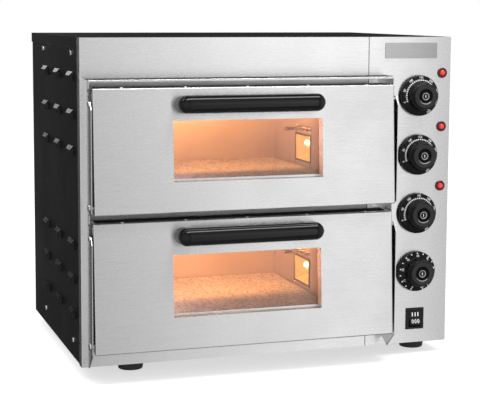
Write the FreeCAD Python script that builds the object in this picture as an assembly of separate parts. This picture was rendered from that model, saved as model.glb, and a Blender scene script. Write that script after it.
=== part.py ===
import FreeCAD, Part
import os, math
from FreeCAD import Vector, Matrix, Rotation, Placement

os.makedirs("parts", exist_ok=True)

# Countertop double-deck pizza oven, front facing -Y, +X to the operator's right, +Z up.
# Sizes in millimetres. Inside this file a point is given in oven coordinates:
#   x  from the left edge of the body, y backwards from the front plate, d down from the top of the body.

# ---------------------------------------------------------------- driving dimensions
W = 560.0            # body width
H = 459.0            # body height without feet
D = 390.0            # front plate to rear panel
FOOT_H = 18.0
FOOT_R = 19.0
FOOT_X = (81.0, 526.0)
SHEET = 1.2          # casing sheet
THIN = 1.0           # door and chamber sheet

SEAM_X = 428.0       # seam between front frame and control panel
RETURN_Y = 16.0      # depth of the stainless side returns

DOOR_CX = 230.7      # centre of both doors
DOOR_W = 442.0
DOOR_YT = -38.0      # door face, ahead of the front plate, at its top edge
DOOR_YB = -48.0      # and at its bottom edge
DOOR_REAR = -3.0     # back of the inner door panel
UP_T, UP_B = 67.7, 239.2        # upper door top and bottom
LO_T, LO_B = 251.5, 431.5       # lower door top and bottom
UP_WT, UP_WB = 113.0, 196.8     # upper window
LO_WT, LO_WB = 299.0, 386.0     # lower window
WIN_W = 219.0
REVEAL = 15.0        # window flange depth, skin to glass
GLASS_T = 4.0

CHEEK_GAP = 2.7      # door edge to cheek
CHEEK_T = 1.2
HOOD_D = 56.4        # top of the drip hood
HOOD_Y = -29.0       # hood projection
CHEEK_Y = -45.5      # cheek front edge beside the doors

PIN_Y = -30.0        # hinge pins
PIN_R = 3.0
PIN_UP_D = 230.0
PIN_LO_D = 422.3
PIN_CLEAR = 0.05     # radial running clearance

HANDLE_L = 214.0
HANDLE_H = 25.0
HANDLE_P = 30.0      # projection from the door face
HANDLE_GAP = 15.0    # finger gap, door face to the back of the bar
HANDLE_UP_D = 90.6
HANDLE_LO_D = 272.8

CH_X0, CH_X1 = 30.0, 411.0      # chamber inner walls
CH_Y1 = 358.0                   # chamber back wall
UP_CEIL, UP_FLOOR = 83.0, 237.0
LO_CEIL, LO_FLOOR = 269.0, 437.5
UP_STONE, LO_STONE = 212.5, 413.0   # stone top faces
STONE_T = 13.0
LAMP_Y0, LAMP_Y1 = 190.0, 256.0
LAMP_DEPTH = 20.0

KNOB_X = 508.0
KNOB_D = [86.4, 174.2, 262.0, 349.8]
KNOB_R = 30.0
HUB_R = 20.5
KNOB_BACK = -2.5
KNOB_FRONT = -27.0
SHAFT_R = 3.0
PILOT_X = 546.2
PILOT_D = [53.3, 132.9, 222.2]
SWITCH_X, SWITCH_D = 508.5, 422.5
ROCKER_REST = 10.0   # rocker tilt at rest, on position
BADGE = (454.0, 537.0, 8.5, 31.5)

LOUVRE_Y = [72.0, 172.0, 271.0]
LOUVRE_D = [55.5, 109.0, 160.5, 294.2, 344.5, 395.0]
LOUVRE_W, LOUVRE_H, LOUVRE_P = 37.0, 13.5, 4.5
SIDE_SCREW_Y = (65.0, 287.0)
GLAND_OUT = 15.3     # how far the cable gland stands behind the rear panel

LEAN = math.degrees(math.atan2(DOOR_YT - DOOR_YB, UP_B - UP_T))

# ---------------------------------------------------------------- frame: origin at the middle of the footprint, floor level
FRONT_OUT = 69.5     # furthest forward point, the handles
Y0 = (FRONT_OUT - (D + GLAND_OUT)) / 2.0
ZT = FOOT_H + H


def P(x, y, d):
    return Vector(x - W / 2.0, y + Y0, ZT - d)


def bx(x0, x1, y0, y1, d0, d1):
    """Box between oven coordinates."""
    return Part.makeBox(x1 - x0, y1 - y0, d1 - d0, P(x0, y0, d1))


def prism_x(pts, x0, x1):
    """Closed (y, d) outline extruded along x."""
    v = [P(x0, y, d) for y, d in pts]
    v.append(v[0])
    return Part.Face(Part.makePolygon(v)).extrude(Vector(x1 - x0, 0, 0))


def prism_y(pts, y0, y1):
    """Closed (x, d) outline extruded along y."""
    v = [P(x, y0, d) for x, d in pts]
    v.append(v[0])
    return Part.Face(Part.makePolygon(v)).extrude(Vector(0, y1 - y0, 0))


def cyl_y(x, d, r, y0, y1):
    return Part.makeCylinder(r, y1 - y0, P(x, y0, d), Vector(0, 1, 0))


def cyl_x(y, d, r, x0, x1):
    return Part.makeCylinder(r, x1 - x0, P(x0, y, d), Vector(1, 0, 0))


def cyl_z(x, y, r, d0, d1):
    return Part.makeCylinder(r, d1 - d0, P(x, y, d1), Vector(0, 0, 1))


def fuse(items):
    s = items[0]
    if len(items) > 1:
        s = s.fuse(items[1:])
    return s.removeSplitter()


def cut(s, tools):
    return s.cut(tools) if isinstance(tools, list) else s.cut(tools)


def group(items):
    return Part.makeCompound(items)


def revolve_y(pts, x, d):
    """(r, y) outline turned about the y axis through (x, d)."""
    v = [P(x + r, y, d) for r, y in pts]
    v.append(v[0])
    f = Part.Face(Part.makePolygon(v))
    return f.revolve(P(x, 0, d), Vector(0, 1, 0), 360)


NODES = {}


def save(name, shape):
    solids = shape.Solids
    out = solids[0] if len(solids) == 1 else Part.makeCompound(solids)
    for s in solids:
        if not s.isValid() or s.Volume <= 0:
            raise SystemExit("bad solid in " + name)
    out.exportStep("parts/%s.step" % name)
    NODES[name] = out


def fillet_edges(shape, r, pick):
    edges = [e for e in shape.Edges if pick(e)]
    return shape.makeFillet(r, edges) if edges else shape


# ================================================================ casing
# base pan with upturned rims, and ventilation slots under each chamber
pan = fuse([
    bx(3, W - 3, SHEET + 0.2, D - SHEET - 0.2, H - SHEET, H),
    bx(3, 3 + SHEET, SHEET + 0.2, D - SHEET - 0.2, H - 15, H),
    bx(W - 3 - SHEET, W - 3, SHEET + 0.2, D - SHEET - 0.2, H - 15, H),
    bx(3, W - 3, D - 2 * SHEET - 0.2, D - SHEET - 0.2, H - 15, H),
])
slots = []
for i in range(6):
    for sx in (150.0, 330.0):
        slots.append(bx(sx - 40, sx + 40, 120 + i * 24, 126 + i * 24, H - SHEET - 1, H + 1))
save("base_pan", cut(pan, slots))

# top cover with flanges folded over both sides and the back
top = fuse([
    bx(0, W, SHEET + 0.1, D, 0, SHEET),
    bx(0, SHEET, RETURN_Y + 0.4, D, 0, 14),
    bx(W - SHEET, W, RETURN_Y + 0.4, D, 0, 14),
    bx(0, W, D - SHEET, D, 0, 14),
])
# corners notched round the stainless returns
top = cut(top, [bx(-1, SHEET + 0.15, 0, RETURN_Y + 0.4, -1, SHEET + 1), bx(W - SHEET - 0.15, W + 1, 0, RETURN_Y + 0.4, -1, SHEET + 1)])
save("top_cover", top)


def louvre(x_face, side, yc, dc):
    """Pressed louvre standing out of a side panel, sloping out to a mouth that faces down."""
    def hood(x, out, wb, wt, db, dt, bottom):
        base = [P(x, yc - wb, dc + db), P(x, yc + wb, dc + db), P(x, yc + wb, dc + bottom), P(x, yc - wb, dc + bottom)]
        tip = [P(x + side * out, yc - wt, dc + dt), P(x + side * out, yc + wt, dc + dt),
               P(x + side * out, yc + wt, dc + bottom), P(x + side * out, yc - wt, dc + bottom)]
        return Part.makeLoft([Part.makePolygon(base + [base[0]]), Part.makePolygon(tip + [tip[0]])], True, True)
    hw, hh = LOUVRE_W / 2, LOUVRE_H / 2
    out = hood(x_face, LOUVRE_P, hw, hw - 4.0, -hh, -hh + 5.5, hh)
    edges = [e for e in out.Edges if abs(e.CenterOfMass.x - (x_face - W / 2)) > 0.5
             and abs(e.CenterOfMass.z - (ZT - dc - hh)) > 0.1]
    out = out.makeFillet(1.3, edges)
    inn = hood(x_face - side * 0.4, LOUVRE_P - 0.6, hw - 1.3, hw - 4.9, -hh + 1.4, -hh + 6.3, hh + 1.0)
    return out, inn


def side_panel(x_in, x_out, name, side):
    lo, hi = min(x_in, x_out), max(x_in, x_out)
    y_start = RETURN_Y + 0.4
    body = bx(lo, hi, y_start, D - SHEET - 0.2, 1.4, H)
    holes, bumps, hollows = [], [], []
    for yc in LOUVRE_Y:
        for dc in LOUVRE_D:
            holes.append(bx(lo - 1, hi + 0.01, yc - LOUVRE_W / 2 + 5, yc + LOUVRE_W / 2 - 5, dc - 1.0, dc + LOUVRE_H / 2)
                         if side > 0 else
                         bx(lo - 0.01, hi + 1, yc - LOUVRE_W / 2 + 5, yc + LOUVRE_W / 2 - 5, dc - 1.0, dc + LOUVRE_H / 2))
            out, inn = louvre(x_out, side, yc, dc)
            bumps.append(out.cut(inn))
    for yc in SIDE_SCREW_Y:
        for dc in (23.0, 434.5):
            holes.append(cyl_x(yc, dc, 2.1, lo - 1, hi + 1))
    save(name, fuse([cut(body, holes)] + bumps))


side_panel(2.4, 1.2, "left_side_panel", -1)
side_panel(W - 2.4, W - 1.2, "right_side_panel", 1)

# rear panel with vent slots and the cable inlet hole
rear = bx(3, W - 3, D - SHEET - 0.1, D - 0.1, 14.5, H)
GX, GD = 500.0, 415.0
tools = [cyl_y(GX, GD, 8.1, D - 4, D + 4)]
for i in range(7):
    for cx in (130.0, 280.0, 430.0):
        tools.append(bx(cx - 45, cx + 45, D - 4, D + 4, 60 + i * 12, 64 + i * 12))
for sx in (20.0, 280.0, 540.0):
    for sd in (24.0, 440.0):
        tools.append(cyl_y(sx, sd, 2.1, D - 4, D + 4))
save("rear_panel", cut(rear, tools))

# front frame: fascia, band between the decks and bottom band in one plate, with the left return
UP_MOUTH = (34.0, 407.0, 86.0, 225.7)
LO_MOUTH = (34.0, 407.0, 272.0, 426.2)
ff = fuse([bx(0, SEAM_X - 0.55, 0, SHEET, 0, H), bx(0, SHEET, 0, RETURN_Y, 0, H)])
ff = fillet_edges(ff, 1.0, lambda e: e.Length > 400 and abs(e.BoundBox.XMin + W / 2) < 1e-3
                  and abs(e.BoundBox.XMax + W / 2) < 1e-3 and abs(e.BoundBox.YMax - Y0) < 1e-3)
ff = cut(ff, [bx(m[0], m[1], -2, 3, m[2], m[3]) for m in (UP_MOUTH, LO_MOUTH)])
save("front_frame", ff)

# control panel with the right return
cp = fuse([bx(SEAM_X + 0.55, W, 0, SHEET, 0, H), bx(W - SHEET, W, 0, RETURN_Y, 0, H)])
cp = fillet_edges(cp, 1.0, lambda e: e.Length > 400 and abs(e.BoundBox.XMin - W / 2) < 1e-3
                  and abs(e.BoundBox.XMax - W / 2) < 1e-3 and abs(e.BoundBox.YMax - Y0) < 1e-3)
tools = [cyl_y(KNOB_X, d, 5.0, -2, 3) for d in KNOB_D]
tools += [cyl_y(PILOT_X, d, 6.3, -2, 3) for d in PILOT_D]
tools.append(bx(SWITCH_X - 10.7, SWITCH_X + 10.7, -2, 3, SWITCH_D - 13.7, SWITCH_D + 13.7))
save("control_panel", cut(cp, tools))

# blank badge plate, rounded corners
bp = bx(BADGE[0], BADGE[1], -1.2, -0.0, BADGE[2], BADGE[3])
bp = fillet_edges(bp, 1.5, lambda e: abs(e.BoundBox.YLength - 1.2) < 1e-3 and e.BoundBox.XLength < 1e-3)
save("badge_plate", bp)

# ---------------------------------------------------------------- door surround: drip hood and two cheeks
DX0, DX1 = DOOR_CX - DOOR_W / 2, DOOR_CX + DOOR_W / 2
CL0, CL1 = DX0 - CHEEK_GAP - CHEEK_T, DX0 - CHEEK_GAP
CR0, CR1 = DX1 + CHEEK_GAP, DX1 + CHEEK_GAP + CHEEK_T
cheek = [
    (0.0, HOOD_D), (HOOD_Y, HOOD_D), (HOOD_Y, UP_T + 0.5), (-21, UP_T + 5), (-21, UP_T + 15), (-38.5, UP_T + 17.5),
    (CHEEK_Y, UP_T + 28), (CHEEK_Y, UP_B - 3), (HOOD_Y, UP_B + 1.5), (HOOD_Y, LO_T + 0.5), (-21, LO_T + 5),
    (-21, LO_T + 15), (-38.5, LO_T + 17.5), (CHEEK_Y, LO_T + 28), (CHEEK_Y, 432.0), (-20, 455.0), (0, 445.0),
]
left = prism_x(cheek, CL0, CL1)
right = prism_x(cheek, CR0, CR1)
hood = bx(CL0, CR1, HOOD_Y, 0, HOOD_D, HOOD_D + SHEET)
lip = bx(CL0, CR1, HOOD_Y, HOOD_Y + SHEET, HOOD_D, HOOD_D + 3.0)
sur = fuse([left, right, hood, lip])
sur = fillet_edges(sur, 1.0, lambda e: abs(e.BoundBox.ZMin - (ZT - HOOD_D)) < 1e-3 and e.BoundBox.ZLength < 1e-3
                   and abs(e.BoundBox.YMin - (Y0 + HOOD_Y)) < 1e-3 and e.BoundBox.YLength < 1e-3)
sur = cut(sur, [cyl_x(PIN_Y, dd, PIN_R, CL0 - 2, CL1 + 2) for dd in (PIN_UP_D, PIN_LO_D)] +
          [cyl_x(PIN_Y, dd, PIN_R, CR0 - 2, CR1 + 2) for dd in (PIN_UP_D, PIN_LO_D)] +
          [cyl_x(-32, dd, 2.5, CL0 - 2, CL1 + 2) for dd in (UP_T + 20.5, LO_T + 20.5)] +
          [cyl_x(-32, dd, 2.5, CR0 - 2, CR1 + 2) for dd in (UP_T + 20.5, LO_T + 20.5)])
save("door_surround", sur)

# hinge pins with domed heads outside the cheeks
pins, studs = [], []
for dd in (PIN_UP_D, PIN_LO_D):
    for a, b, hd in ((CL0, DX0 + 8.0, -1), (CR1, DX1 - 8.0, 1)):
        shank = cyl_x(PIN_Y, dd, PIN_R, min(a, b), max(a, b))
        head = Part.makeCylinder(5.0, 1.6, P(a, PIN_Y, dd), Vector(hd, 0, 0))
        pins.append(fillet_edges(fuse([shank, head]), 1.2,
                                 lambda e, a=a, hd=hd: abs(e.BoundBox.XMin - (a - W / 2 + 1.6 * hd)) < 1e-3
                                 and abs(e.BoundBox.XMax - (a - W / 2 + 1.6 * hd)) < 1e-3))
for dd in (UP_T + 20.5, LO_T + 20.5):
    for a, b, hd in ((CL0, CL1 + 1.6, -1), (CR1, CR0 - 1.6, 1)):
        shank = cyl_x(-32, dd, 2.5, min(a, b), max(a, b))
        head = Part.makeCylinder(4.0, 1.6, P(a, -32, dd), Vector(hd, 0, 0))
        studs.append(fillet_edges(fuse([shank, head]), 1.2,
                                  lambda e, a=a, hd=hd: abs(e.BoundBox.XMin - (a - W / 2 + 1.6 * hd)) < 1e-3
                                  and abs(e.BoundBox.XMax - (a - W / 2 + 1.6 * hd)) < 1e-3))
save("hinge_pins", group(pins))
save("door_stop_studs", group(studs))

# ---------------------------------------------------------------- chambers
def chamber(name, ceil, floor, stone_top, lamp_d0, lamp_d1):
    t = THIN
    ledge_d = stone_top + STONE_T
    # welded sheets: roof, floor, back, both sides and the stone rails
    sheets = [bx(CH_X0 - t, CH_X1 + t, SHEET, CH_Y1 + t, ceil - t, ceil),
              bx(CH_X0 - t, CH_X1 + t, SHEET, CH_Y1 + t, floor, floor + t),
              bx(CH_X0 - t, CH_X1 + t, CH_Y1, CH_Y1 + t, ceil, floor),
              bx(CH_X0 - t, CH_X0, SHEET, CH_Y1, ceil, floor),
              bx(CH_X0, CH_X0 + 9, SHEET + 4, CH_Y1, ledge_d, ledge_d + 1.2),
              bx(CH_X1 - 9, CH_X1, SHEET + 4, CH_Y1, ledge_d, ledge_d + 1.2)]
    # the right side has the lamp window
    right = cut(bx(CH_X1, CH_X1 + t, SHEET, CH_Y1, ceil, floor), [bx(CH_X1 - 2, CH_X1 + 3, LAMP_Y0, LAMP_Y1, lamp_d0, lamp_d1)])
    save(name, group(sheets + [right]))


UP_LAMP = (163.0, 203.0)
LO_LAMP = (364.0, 404.0)
chamber("upper_chamber", UP_CEIL, UP_FLOOR, UP_STONE, *UP_LAMP)
chamber("lower_chamber", LO_CEIL, LO_FLOOR, LO_STONE, *LO_LAMP)

# baking stones on the side rails
for name, st in (("upper_stone", UP_STONE), ("lower_stone", LO_STONE)):
    s = bx(CH_X0 + 1.5, CH_X1 - 1.5, 7.0, CH_Y1 - 2, st, st + STONE_T)
    s = fillet_edges(s, 1.5, lambda e: e.Length > 100)
    save(name, s)


# tubular heating elements, four legs joined by three bends
def element(d, y_front=46.0, x_a=86.0, pitch=90.0, r=3.2):
    R = pitch / 2
    y_back = CH_Y1 - 12.0
    pts = []
    e = []
    x = x_a
    e.append(Part.makeLine(P(x, y_back, d), P(x, y_front + R, d)))
    e.append(Part.Arc(P(x, y_front + R, d), P(x + R, y_front, d), P(x + 2 * R, y_front + R, d)).toShape())
    x += pitch
    e.append(Part.makeLine(P(x, y_front + R, d), P(x, y_back - 70 - R, d)))
    e.append(Part.Arc(P(x, y_back - 70 - R, d), P(x + R, y_back - 70, d), P(x + 2 * R, y_back - 70 - R, d)).toShape())
    x += pitch
    e.append(Part.makeLine(P(x, y_back - 70 - R, d), P(x, y_front + R, d)))
    e.append(Part.Arc(P(x, y_front + R, d), P(x + R, y_front, d), P(x + 2 * R, y_front + R, d)).toShape())
    x += pitch
    e.append(Part.makeLine(P(x, y_front + R, d), P(x, y_back, d)))
    w = Part.Wire(e)
    c = Part.Wire(Part.makeCircle(r, P(x_a, y_back, d), Vector(0, 1, 0)))
    tube = w.makePipeShell([c], True, False)
    # ceramic terminals at the two ends, through the back wall region
    return tube


save("upper_elements", group([element(UP_CEIL + 8), element(UP_FLOOR - 5.2)]))
save("lower_elements", group([element(LO_CEIL + 8), element(LO_FLOOR - 5.2)]))


# lamp housings: tapered reflector boxes behind the right-hand walls, a bulb in each
def lamp(d0, d1):
    t = 0.8
    x0 = CH_X1 + THIN
    ya, yb = LAMP_Y0, LAMP_Y1
    y_in, d_in = 13.0, 9.0
    def frustum(g, xa, xb):
        def rect(x, k):
            return [P(x, ya + y_in * k - g, d0 + d_in * k - g), P(x, yb - y_in * k + g, d0 + d_in * k - g),
                    P(x, yb - y_in * k + g, d1 - d_in * k + g), P(x, ya + y_in * k - g, d1 - d_in * k + g)]
        a, b = rect(xa, 0.0), rect(xb, 1.0)
        wa = Part.makePolygon(a + [a[0]])
        wb = Part.makePolygon(b + [b[0]])
        return Part.makeLoft([wa, wb], True, True)
    inner = frustum(0.0, x0, x0 + LAMP_DEPTH)
    outer = frustum(t, x0, x0 + LAMP_DEPTH + t)
    flange = bx(x0, x0 + t, ya - 8, yb + 8, d0 - 6, d1 + 6)
    body = fuse([outer, flange]).cut(inner)
    mouth = bx(x0 - 1, x0 + t + 0.01, ya, yb, d0, d1)
    hole = cyl_x((ya + yb) / 2, (d0 + d1) / 2, 4.2, x0 + LAMP_DEPTH - 6, x0 + LAMP_DEPTH + 5)
    return body.cut([mouth.common(frustum(0.0, x0 - 1, x0 + LAMP_DEPTH)), hole])


def bulb(d0, d1):
    xc = CH_X1 + THIN + LAMP_DEPTH
    y, d = (LAMP_Y0 + LAMP_Y1) / 2, (d0 + d1) / 2
    cap = cyl_x(y, d, 4.0, xc - 3, xc + 4)
    glass = cyl_x(y, d, 5.0, xc - 14, xc - 3)
    glass = fillet_edges(glass, 4.0, lambda e: abs(e.BoundBox.XMin - (xc - 14 - W / 2)) < 1e-3
                         and abs(e.BoundBox.XMax - (xc - 14 - W / 2)) < 1e-3)
    return fuse([cap, glass])


save("lamp_housings", group([lamp(*UP_LAMP), lamp(*LO_LAMP)]))
save("lamp_bulbs", group([bulb(*UP_LAMP), bulb(*LO_LAMP)]))


# probe bracket above each lamp: a strap on two studs holding the thermostat bulb
def probe(d0):
    x = CH_X1
    dc = d0 - 12.0
    strap = bx(x - 1.2, x - 0.05, 188, 254, dc - 5, dc + 5)
    strap = fillet_edges(strap, 4.0, lambda e: abs(e.BoundBox.XLength - 1.15) < 1e-3 and e.Length < 2)
    nuts = [cyl_x(y, dc, 4.0, x - 5.0, x - 1.2) for y in (200.0, 236.0)]
    rod = cyl_x(218.0, dc, 3.0, x - 34.0, x - 1.2)
    return fuse([strap] + nuts + [rod])


save("probe_brackets", group([probe(UP_LAMP[0]), probe(LO_LAMP[0])]))

# sheet wall between the chambers and the control compartment
save("divider_panel", bx(438.0, 439.2, SHEET + 0.1, D - 2.8, 16.0, H - 1.4))

# mineral wool blankets
save("insulation_top", bx(4.6, 436.0, SHEET + 1, D - 4, 18.0, UP_CEIL - 1.2))
save("insulation_middle", bx(4.6, 408.0, SHEET + 1, D - 4, UP_FLOOR + 1.2, LO_CEIL - 1.2))
save("insulation_bottom", bx(6.0, 408.0, SHEET + 1, D - 4, LO_FLOOR + 1.2, H - 1.4))

# ================================================================ doors
def door(prefix, dt, db, wt, wb, pin_d, handle_d):
    def yf(d):
        return DOOR_YT + (DOOR_YB - DOOR_YT) * (d - dt) / (db - dt)

    def slab(x0, x1, d0, d1, t0, t1):
        return prism_x([(yf(d0) + t0, d0), (yf(d1) + t0, d1), (yf(d1) + t1, d1), (yf(d0) + t1, d0)], x0, x1)

    def wedge(x0, x1, d0, d1, t0, y1):
        """From t0 behind the skin back to the plane y1."""
        return prism_x([(yf(d0) + t0, d0), (yf(d1) + t0, d1), (y1, d1), (y1, d0)], x0, x1)

    t = THIN
    wx0, wx1 = DOOR_CX - WIN_W / 2, DOOR_CX + WIN_W / 2
    rear_in = DOOR_REAR - t
    # outer skin: front sheet with folded top, bottom and sides, window flange with a turned-up bottom lip
    outer = wedge(DX0, DX1, dt, db, 0.0, rear_in)
    front_edges = lambda e: (e.BoundBox.YMax < Y0 + DOOR_YT + 12 and e.Length > 100)
    outer = outer.makeFillet(1.6, [e for e in outer.Edges if e.BoundBox.YMax < Y0 + DOOR_YT + 1e-3])
    inner = wedge(DX0 + t, DX1 - t, dt + t, db - t, t, rear_in + 5)
    skin = outer.cut(inner)
    skin = skin.cut(slab(wx0, wx1, wt, wb, -5, t + 1))
    tube = slab(wx0 - t, wx1 + t, wt - t, wb + t, t * 0.5, REVEAL).cut(slab(wx0, wx1, wt, wb, -5, REVEAL + 5))
    lip = slab(wx0, wx1, wb - 2.6, wb + 0.5, REVEAL - 1.0, REVEAL)
    holes = [cyl_x(PIN_Y, pin_d, PIN_R + PIN_CLEAR, DX0 - 3, DX0 + 3), cyl_x(PIN_Y, pin_d, PIN_R + PIN_CLEAR, DX1 - 3, DX1 + 3)]
    sx = [DOOR_CX - 180, DOOR_CX - 90, DOOR_CX, DOOR_CX + 90, DOOR_CX + 180]
    holes += [cyl_z(x, DOOR_YT + 4.5, 1.6, dt - 2, dt + 3) for x in sx]
    hx = [DOOR_CX - HANDLE_L / 2 + 13, DOOR_CX + HANDLE_L / 2 - 13]
    holes += [cyl_y(x, handle_d, 2.6, yf(handle_d) - 3, yf(handle_d) + 3) for x in hx]
    skin = fuse([skin, tube, lip]).cut(holes)
    save(prefix + "_skin", skin)

    # glass and the frame that holds it from behind
    save(prefix + "_glass", slab(wx0 - 8, wx1 + 8, wt - 8, wb + 8, REVEAL, REVEAL + GLASS_T))
    g1 = REVEAL + GLASS_T
    ret = slab(wx0 - 12, wx1 + 12, wt - 12, wb + 12, g1, g1 + 1.2).cut(slab(wx0 - 3, wx1 + 3, wt - 3, wb + 3, 0, 40))
    save(prefix + "_glass_retainer", ret)

    # inner panel with a tunnel flange round its window
    g2 = g1 + 1.2
    pan = bx(DX0, DX1, rear_in, DOOR_REAR, dt, db)
    pan = fillet_edges(pan, 0.8, lambda e: e.Length > 100 and abs(e.BoundBox.YMin - (Y0 + DOOR_REAR)) < 1e-3)
    tun = wedge(wx0 - 9, wx1 + 9, wt - 9, wb + 9, g2, rear_in + 0.5)
    hole = wedge(wx0 - 8, wx1 + 8, wt - 8, wb + 8, g2 - 5, 5)
    save(prefix + "_inner_panel", fuse([pan, tun]).cut(hole))

    # insulation between skin and inner panel
    ins = wedge(DX0 + 1.6, DX1 - 1.6, dt + 9, db - 3, 1.4, rear_in - 0.4)
    tools = [wedge(wx0 - 13, wx1 + 13, wt - 13, wb + 13, -5, 5)]
    tools += [cyl_y(x, handle_d, 6.5, yf(handle_d) - 3, yf(handle_d) + 7) for x in hx]
    tools += [cyl_x(PIN_Y, pin_d, 8.0, DX0 - 3, DX0 + 12), cyl_x(PIN_Y, pin_d, 8.0, DX1 - 12, DX1 + 3)]
    save(prefix + "_insulation", ins.cut(tools))

    # hinge bushes inside both side folds
    bush = []
    for xa, xb in ((DX0 + t, DX0 + 9.5), (DX1 - 9.5, DX1 - t)):
        b = cyl_x(PIN_Y, pin_d, 6.5, xa, xb).cut(cyl_x(PIN_Y, pin_d, PIN_R + PIN_CLEAR, xa - 1, xb + 1))
        bush.append(b)
    save(prefix + "_hinge_bushes", group(bush))

    # moulded bow handle
    hl, hh = HANDLE_L / 2, HANDLE_H / 2
    a = Part.makeLine(Vector(-hl + hh, 0, -hh), Vector(hl - hh, 0, -hh))
    b = Part.Arc(Vector(hl - hh, 0, -hh), Vector(hl, 0, 0), Vector(hl - hh, 0, hh)).toShape()
    c = Part.makeLine(Vector(hl - hh, 0, hh), Vector(-hl + hh, 0, hh))
    e = Part.Arc(Vector(-hl + hh, 0, hh), Vector(-hl, 0, 0), Vector(-hl + hh, 0, -hh)).toShape()
    cap = Part.Face(Part.Wire([a, b, c, e])).extrude(Vector(0, -HANDLE_P, 0))
    cap = cap.makeFillet(9.0, [ed for ed in cap.Edges if abs(ed.BoundBox.YMin + HANDLE_P) < 1e-3 and ed.BoundBox.YLength < 1e-3])
    gl = HANDLE_L / 2 - 26
    gp = Part.makeBox(2 * gl, HANDLE_GAP, HANDLE_H + 10, Vector(-gl, -HANDLE_GAP, -HANDLE_H / 2 - 5))
    gp = gp.makeFillet(7.0, [ed for ed in gp.Edges if abs(ed.BoundBox.ZLength - (HANDLE_H + 10)) < 1e-3
                             and abs(ed.BoundBox.YMin + HANDLE_GAP) < 1e-3])
    gp2 = Part.makeBox(2 * gl, 2, HANDLE_H + 10, Vector(-gl, -0.5, -HANDLE_H / 2 - 5))
    cap = cap.cut([gp, gp2])
    for x in (-hl + 13, hl - 13):
        cap = cap.cut(Part.makeCylinder(2.5, 13, Vector(x, 1, 0), Vector(0, -1, 0)))
    lean = math.degrees(math.atan2(DOOR_YT - DOOR_YB, db - dt))
    base = P(DOOR_CX, yf(handle_d), handle_d)
    place = Placement(base, Rotation(Vector(1, 0, 0), -lean))
    cap.Placement = place
    save(prefix + "_handle", cap)

    # screws: two hold the handle, five hold the inner panel along the top fold
    scr = []
    for x in (-hl + 13, hl - 13):
        sh = Part.makeCylinder(2.5, 13.0, Vector(x, t, 0), Vector(0, -1, 0))
        hd = Part.makeCylinder(4.6, 2.6, Vector(x, t + 2.6, 0), Vector(0, -1, 0))
        s = sh.fuse(hd).removeSplitter()
        s.Placement = place
        scr.append(s)
    for x in sx:
        sh = cyl_z(x, DOOR_YT + 4.5, 1.5, dt - 0.5, dt + 6)
        hd = cyl_z(x, DOOR_YT + 4.5, 3.0, dt - 1.3, dt)
        hd = fillet_edges(hd, 0.8, lambda e: abs(e.BoundBox.ZMin - (ZT - dt + 1.3)) < 1e-3 and e.BoundBox.ZLength < 1e-3)
        scr.append(sh.fuse(hd).removeSplitter())
    save(prefix + "_screws", group(scr))


door("upper_door", UP_T, UP_B, UP_WT, UP_WB, PIN_UP_D, HANDLE_UP_D)
door("lower_door", LO_T, LO_B, LO_WT, LO_WB, PIN_LO_D, HANDLE_LO_D)

# ================================================================ controls
# knobs: dial skirt, raised hub with a dished cap, pressed on round shafts
prof = [
    (SHAFT_R, KNOB_BACK), (KNOB_R - 2.0, KNOB_BACK), (KNOB_R, KNOB_BACK - 1.2), (KNOB_R, KNOB_BACK - 3.4),
    (KNOB_R - 1.4, KNOB_BACK - 5.2), (HUB_R + 2.4, KNOB_BACK - 8.2), (HUB_R + 0.6, KNOB_BACK - 9.4),
    (HUB_R, KNOB_BACK - 11.0), (HUB_R - 0.8, KNOB_FRONT + 2.6), (HUB_R - 3.0, KNOB_FRONT + 0.5),
    (HUB_R - 5.0, KNOB_FRONT), (9.5, KNOB_FRONT), (8.5, KNOB_FRONT + 1.6), (6.4, KNOB_FRONT + 1.6),
    (6.0, KNOB_FRONT + 0.6), (5.2, KNOB_FRONT + 0.6), (4.8, KNOB_FRONT + 1.6), (0.0, KNOB_FRONT + 1.6),
    (0.0, KNOB_FRONT + 8.0), (SHAFT_R, KNOB_FRONT + 8.0),
]
KN = ["temp_knob_1", "temp_knob_2", "temp_knob_3", "timer_knob"]
SN = ["temp_shaft_1", "temp_shaft_2", "temp_shaft_3", "timer_shaft"]
for name, sname, d in zip(KN, SN, KNOB_D):
    save(name, revolve_y(prof, KNOB_X, d))
    save(sname, cyl_y(KNOB_X, d, SHAFT_R, KNOB_FRONT + 8.0, 16.0))


# thermostat and timer bodies behind the panel, each with a neck that carries the shaft
def control(d, r, depth, square=False):
    if square:
        b = bx(KNOB_X - r, KNOB_X + r, SHEET, SHEET + depth, d - r, d + r)
        b = fillet_edges(b, 3.0, lambda e: abs(e.Length - depth) < 1e-3 and e.BoundBox.XLength < 1e-3)
    else:
        b = cyl_y(KNOB_X, d, r, SHEET, SHEET + depth)
    neck = cyl_y(KNOB_X, d, 4.95, -1.6, SHEET)
    nut = cyl_y(KNOB_X, d, 7.5, -1.6, -0.05)
    bore = cyl_y(KNOB_X, d, SHAFT_R + PIN_CLEAR, -4, 16.5)
    return fuse([b, neck, nut]).cut(bore)


save("thermostats", group([control(d, 20.0, 30.0) for d in KNOB_D[:3]]))
save("timer", control(KNOB_D[3], 22.0, 34.0, True))

# pilot lights
bez, lens = [], []
for d in PILOT_D:
    b = fuse([cyl_y(PILOT_X, d, 7.7, -2.0, 0), cyl_y(PILOT_X, d, 6.2, 0, 22)])
    b = fillet_edges(b, 0.9, lambda e: abs(e.BoundBox.YMax - (Y0 - 2.0)) < 1e-3)
    bez.append(b.cut(cyl_y(PILOT_X, d, 5.7, -4, 5)))
    l = cyl_y(PILOT_X, d, 5.6, -4.2, 5)
    l = fillet_edges(l, 2.2, lambda e: abs(e.BoundBox.YMax - (Y0 - 4.2)) < 1e-3)
    lens.append(l)
save("pilot_bezels", group(bez))
save("pilot_lenses", group(lens))

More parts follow.
